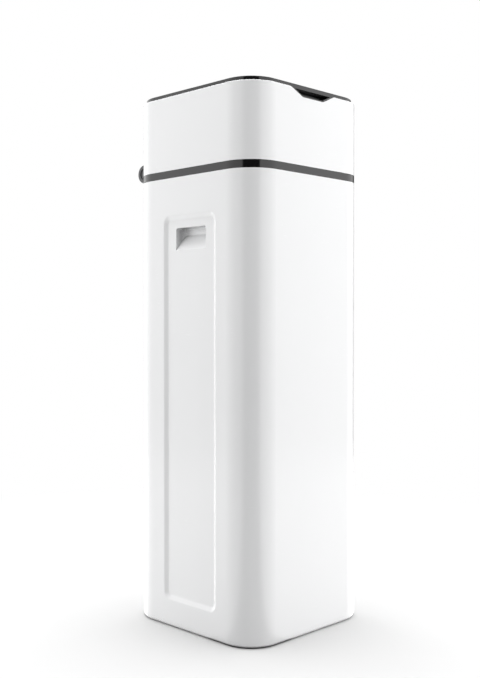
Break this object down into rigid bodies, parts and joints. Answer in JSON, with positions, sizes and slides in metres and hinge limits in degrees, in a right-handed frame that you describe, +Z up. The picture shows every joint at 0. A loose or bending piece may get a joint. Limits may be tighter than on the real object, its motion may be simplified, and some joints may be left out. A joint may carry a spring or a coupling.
{
  "type": "water softener",
  "caption": "Slim floor-standing cabinet water softener: hinged lid with finger scoop, salt chute and brine well, resin tank, motor-driven control valve and push-pull bypass.",
  "frame": {"origin": "centre of the cabinet's footprint, in the plane of the base ring's underside on the floor", "axes": "+Z up, the front of the cabinet faces -Y, the pipes leave towards +Y, and +X is to the right as seen from the front"},
  "size_m": [0.35, 0.433, 1.09],
  "materials": {
    "white_shell": "smooth gloss",
    "dark_gloss": "polished",
    "dark_matte": "fine texture",
    "natural_plastic": "satin",
    "tank_wrap": "wound fibre under resin, satin",
    "foot_black": "satin",
    "resin_beads": "fine beads",
    "valve_black": "moulded, satin",
    "valve_disc": "lapped",
    "gear_plastic": "satin",
    "screw_steel": "zinc plated",
    "motor_steel": "satin",
    "clip_plastic": "satin",
    "rubber": "matte",
    "display_lens": "clear",
    "display_panel": "smooth",
    "board_green": "varnished",
    "switch_grey": "satin",
    "button_grey": "satin",
    "knob_dark": "semi gloss",
    "line_tube": "translucent look, satin",
    "float_foam": "satin"
  },
  "bodies": {
    "cabinet": {"base_ring": "dark_matte", "cabinet_body": "white_shell", "belt_ring": "dark_gloss", "top_cover": "white_shell", "case_screws": "screw_steel", "inner_deck": "dark_matte", "small_screws": "screw_steel", "salt_chute": "dark_matte", "hinge_pins": "screw_steel", "control_pod": "dark_matte", "display_lens": "display_lens", "display_module": "display_panel", "circuit_board": "board_green", "tact_switches": "switch_grey", "resin_tank": "tank_wrap", "tank_foot": "foot_black", "resin_bed": "resin_beads", "riser_tube": "natural_plastic", "lower_strainer": "natural_plastic", "upper_strainer": "natural_plastic", "valve_body": "valve_black", "valve_stator": "valve_disc", "valve_cover": "valve_black", "valve_screws": "screw_steel", "motor_bracket": "valve_black", "drive_motor": "motor_steel", "position_switch": "switch_grey", "injector_cap": "valve_black", "turbine_support": "gear_plastic", "bypass_body": "valve_black", "port_clips": "clip_plastic", "port_plate": "dark_matte", "drain_outlet": "valve_black", "cable_grommet": "rubber", "overflow_fitting": "valve_black", "overflow_seal": "rubber", "overflow_nut": "valve_black", "brine_well": "natural_plastic", "well_cap": "natural_plastic", "float_valve": "natural_plastic", "brine_pickup": "natural_plastic", "brine_line": "line_tube", "drain_line": "line_tube", "salt_grid": "natural_plastic"},
    "lid": {"lid_panel": "dark_gloss", "lid_liner": "dark_matte", "lid_bumpers": "rubber"},
    "plunger": {"bypass_plunger": "natural_plastic", "bypass_knobs": "knob_dark"},
    "drive": {"valve_rotor": "valve_disc", "drive_gear": "gear_plastic"},
    "pinion": {"motor_pinion": "gear_plastic"},
    "turbine": {"flow_turbine": "gear_plastic"},
    "float": {"float_rod": "natural_plastic", "brine_float": "float_foam"},
    "button_1": {"button_1": "button_grey"},
    "button_2": {"button_2": "button_grey"},
    "button_3": {"button_3": "button_grey"},
    "button_4": {"button_4": "button_grey"}
  },
  "joints": [
    {"name": "lid_hinge", "type": "hinge", "parent": "cabinet", "child": "lid", "pos_m": [0, 0.1757, 1.08565], "axis": [-1, 0, 0], "range_deg": [0, 95]},
    {"name": "bypass_slide", "type": "slide", "parent": "cabinet", "child": "plunger", "axis": [1, 0, 0], "range_m": [0, 0.025]},
    {"name": "valve_drive", "type": "hinge", "parent": "cabinet", "child": "drive", "pos_m": [0, 0.066, 0.99], "axis": [0, 0, 1], "continuous": true},
    {"name": "motor_spin", "type": "hinge", "parent": "cabinet", "child": "pinion", "pos_m": [-0.0375, 0.066, 0.99], "axis": [0, 0, 1], "continuous": true},
    {"name": "turbine_spin", "type": "hinge", "parent": "cabinet", "child": "turbine", "pos_m": [-0.038, 0.135, 0.947], "axis": [0, 1, 0], "continuous": true},
    {"name": "float_lift", "type": "slide", "parent": "cabinet", "child": "float", "axis": [0, 0, 1], "range_m": [0, 0.012]},
    {"name": "button_1_press", "type": "slide", "parent": "cabinet", "child": "button_1", "axis": [0, 0, -1], "range_m": [0, 0.0008], "stiffness_N_per_m": 200, "springref_m": -0.0005},
    {"name": "button_2_press", "type": "slide", "parent": "cabinet", "child": "button_2", "axis": [0, 0, -1], "range_m": [0, 0.0008], "stiffness_N_per_m": 200, "springref_m": -0.0005},
    {"name": "button_3_press", "type": "slide", "parent": "cabinet", "child": "button_3", "axis": [0, 0, -1], "range_m": [0, 0.0008], "stiffness_N_per_m": 200, "springref_m": -0.0005},
    {"name": "button_4_press", "type": "slide", "parent": "cabinet", "child": "button_4", "axis": [0, 0, -1], "range_m": [0, 0.0008], "stiffness_N_per_m": 200, "springref_m": -0.0005}
  ],
  "couplings": [
    {"joint": "motor_spin", "follows": "valve_drive", "ratio": -4}
  ]
}
